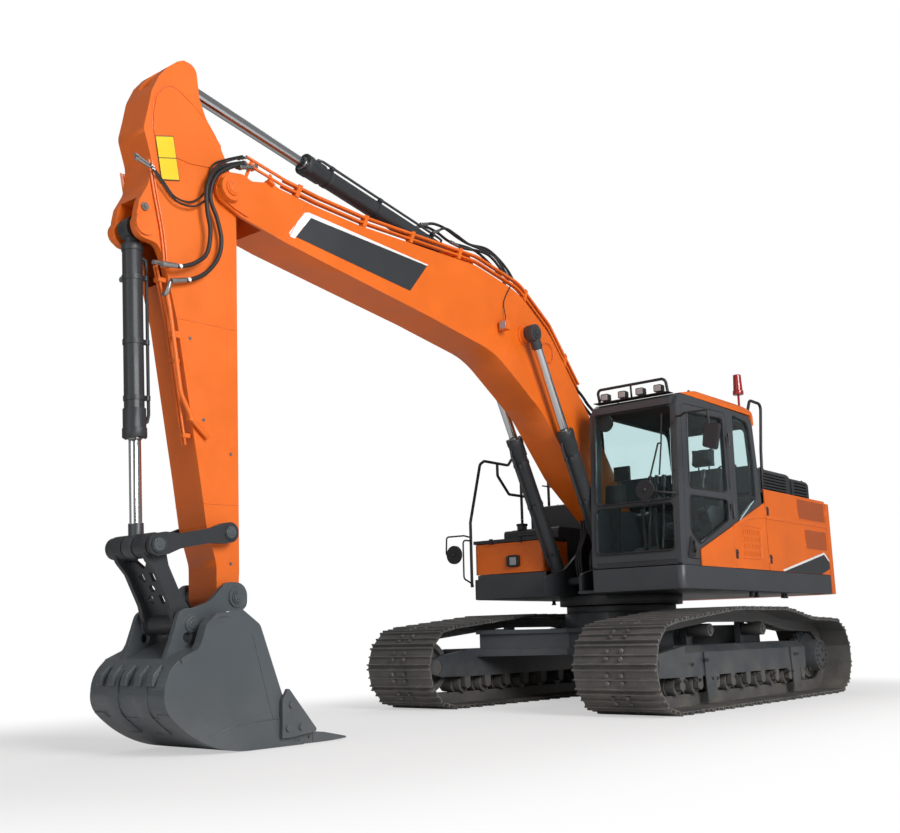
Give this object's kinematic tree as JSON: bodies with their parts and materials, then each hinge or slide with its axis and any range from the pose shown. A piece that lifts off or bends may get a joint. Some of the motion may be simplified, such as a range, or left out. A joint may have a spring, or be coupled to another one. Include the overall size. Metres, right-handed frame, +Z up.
{
  "type": "crawler excavator",
  "caption": "Tracked hydraulic excavator with swinging cab and house, boom, arm, bucket and their hydraulic cylinders.",
  "frame": {"origin": "the swing axis, at the ground that the tracks stand on", "axes": "+X forwards to the bucket, +Y to the cab side, +Z up along the swing axis"},
  "size_m": [8.998, 3.5042, 4.7196],
  "materials": {
    "orange_paint": "semi-gloss",
    "grey_paint": "satin",
    "dark_paint": "satin",
    "bucket_paint": "satin",
    "track_steel": "worn satin",
    "chrome_rod": "polished",
    "window_glass": "clear tinted",
    "black_plastic": "matt",
    "seat_cloth": "woven",
    "hose_rubber": "satin",
    "red_lens": "gloss",
    "machinery": "painted"
  },
  "bodies": {
    "undercarriage": {"car_body": "dark_paint", "swing_bearing": "dark_paint", "track_frames": "dark_paint", "track_left": "track_steel", "track_right": "track_steel", "idlers": "track_steel", "sprockets": "dark_paint", "rollers": "track_steel"},
    "upper_structure": {"swing_ring": "dark_paint", "main_frame": "dark_paint", "side_skirts": "grey_paint", "cab_floor": "dark_paint", "cab_left_side": "grey_paint", "cab_right_side": "grey_paint", "cab_front_frame": "grey_paint", "cab_rear_wall": "grey_paint", "cab_windows": "window_glass", "cab_roof": "orange_paint", "operator_seat": "seat_cloth", "control_consoles": "black_plastic", "engine": "machinery", "hydraulic_tank": "grey_paint", "fuel_tank": "grey_paint", "toolbox": "orange_paint", "side_panels": "orange_paint", "top_covers": "grey_paint", "rear_cowl": "dark_paint", "exhaust": "dark_paint", "handrails": "black_plastic", "beacon": "red_lens", "work_lamps": "black_plastic", "mirrors": "black_plastic", "counterweight": "orange_paint"},
    "cab_door": {"cab_door": "grey_paint", "door_windows": "window_glass"},
    "engine_hood": {"engine_hood": "dark_paint"},
    "filter_door": {"filter_door": "orange_paint"},
    "cooler_door": {"cooler_door": "orange_paint"},
    "pump_door": {"pump_door": "orange_paint"},
    "toolbox_lid": {"toolbox_lid": "dark_paint"},
    "boom": {"boom": "orange_paint", "boom_pipes": "orange_paint", "boom_lamp": "orange_paint", "arm_hoses": "hose_rubber"},
    "boom_barrels": {"boom_cylinder_barrels": "dark_paint"},
    "boom_rods": {"boom_cylinder_rods": "chrome_rod"},
    "arm": {"arm": "orange_paint", "arm_pipes": "orange_paint"},
    "arm_barrel": {"arm_cylinder_barrel": "dark_paint"},
    "arm_rod": {"arm_cylinder_rod": "chrome_rod"},
    "bucket": {"bucket": "bucket_paint", "bucket_teeth": "bucket_paint", "side_cutters": "bucket_paint"},
    "bucket_barrel": {"bucket_cylinder_barrel": "bucket_paint"},
    "bucket_rod": {"bucket_cylinder_rod": "chrome_rod"},
    "side_links": {"side_links": "bucket_paint"},
    "bucket_link": {"bucket_link": "bucket_paint"}
  },
  "joints": [
    {"name": "swing", "type": "hinge", "parent": "undercarriage", "child": "upper_structure", "pos_m": [0, 0, 0.96], "axis": [0, 0, 1], "continuous": true},
    {"name": "boom_lift", "type": "hinge", "parent": "upper_structure", "child": "boom", "pos_m": [0.1465, 0, 1.811], "axis": [0, -1, 0], "range_deg": [-64, 39]},
    {"name": "boom_cylinder_swivel", "type": "hinge", "parent": "upper_structure", "child": "boom_barrels", "pos_m": [0.64, 0, 1.21], "axis": [0, -1, 0], "range_deg": [-61.62, 37.74]},
    {"name": "boom_rod_slide", "type": "slide", "parent": "boom_barrels", "child": "boom_rods", "axis": [0.4762, 0, 0.8794], "range_m": [-0.7534, 0.4611]},
    {"name": "arm_swing", "type": "hinge", "parent": "boom", "child": "arm", "pos_m": [5.472, 0, 3.852], "axis": [0, -1, 0], "range_deg": [-36, 80], "deforming": ["arm_hoses"]},
    {"name": "arm_cylinder_swivel", "type": "hinge", "parent": "boom", "child": "arm_barrel", "pos_m": [2.725, 0, 4.101], "axis": [0, -1, 0], "range_deg": [-1.58, 2.9]},
    {"name": "arm_rod_slide", "type": "slide", "parent": "arm_barrel", "child": "arm_rod", "axis": [0.9857, 0, 0.1687], "range_m": [-0.9545, 0.4323]},
    {"name": "bucket_curl", "type": "hinge", "parent": "arm", "child": "bucket", "pos_m": [5.373, 0, 0.98], "axis": [0, -1, 0], "range_deg": [-95, 75]},
    {"name": "bucket_cylinder_swivel", "type": "hinge", "parent": "arm", "child": "bucket_barrel", "pos_m": [6.118, 0, 3.42], "axis": [0, -1, 0], "range_deg": [-3.35, 2.75]},
    {"name": "bucket_rod_slide", "type": "slide", "parent": "bucket_barrel", "child": "bucket_rod", "axis": [-0.0565, 0, -0.9984], "range_m": [-0.4029, 0.5091]},
    {"name": "side_link_swivel", "type": "hinge", "parent": "arm", "child": "side_links", "pos_m": [5.428, 0, 1.407], "axis": [0, -1, 0], "range_deg": [-59.4, 47]},
    {"name": "bucket_link_swivel", "type": "hinge", "parent": "bucket", "child": "bucket_link", "pos_m": [5.73, 0, 0.812], "axis": [0, -1, 0], "range_deg": [-57.5, 72.7]},
    {"name": "cab_door_hinge", "type": "hinge", "parent": "upper_structure", "child": "cab_door", "pos_m": [0.008, 1.352, 1.3], "axis": [0, 0, 1], "range_deg": [0, 170]},
    {"name": "hood_hinge", "type": "hinge", "parent": "upper_structure", "child": "engine_hood", "pos_m": [-1.984, 0, 2.436], "axis": [0, -1, 0], "range_deg": [0, 70]},
    {"name": "filter_door_hinge", "type": "hinge", "parent": "upper_structure", "child": "filter_door", "pos_m": [-0.741, 1.358, 1.3], "axis": [0, 0, -1], "range_deg": [-100, 0]},
    {"name": "cooler_door_hinge", "type": "hinge", "parent": "upper_structure", "child": "cooler_door", "pos_m": [-2.441, 1.358, 1.3], "axis": [0, 0, 1], "range_deg": [0, 100]},
    {"name": "pump_door_hinge", "type": "hinge", "parent": "upper_structure", "child": "pump_door", "pos_m": [-1.988, -1.358, 1.3], "axis": [0, 0, -1], "range_deg": [0, 100]},
    {"name": "toolbox_lid_hinge", "type": "hinge", "parent": "upper_structure", "child": "toolbox_lid", "pos_m": [0.306, 0, 1.684], "axis": [0, -1, 0], "range_deg": [0, 80]}
  ],
  "couplings": [
    {"joint": "boom_cylinder_swivel", "follows": "boom_lift", "ratio": 0.955},
    {"joint": "boom_rod_slide", "follows": "boom_lift", "m_per_rad": 0.67},
    {"joint": "arm_cylinder_swivel", "follows": "arm_swing", "ratio": 0.03},
    {"joint": "arm_rod_slide", "follows": "arm_swing", "m_per_rad": -0.68},
    {"joint": "bucket_cylinder_swivel", "follows": "bucket_curl", "ratio": 0.03},
    {"joint": "bucket_rod_slide", "follows": "bucket_curl", "m_per_rad": -0.304},
    {"joint": "side_link_swivel", "follows": "bucket_curl", "ratio": 0.62},
    {"joint": "bucket_link_swivel", "follows": "bucket_curl", "ratio": -0.76}
  ]
}
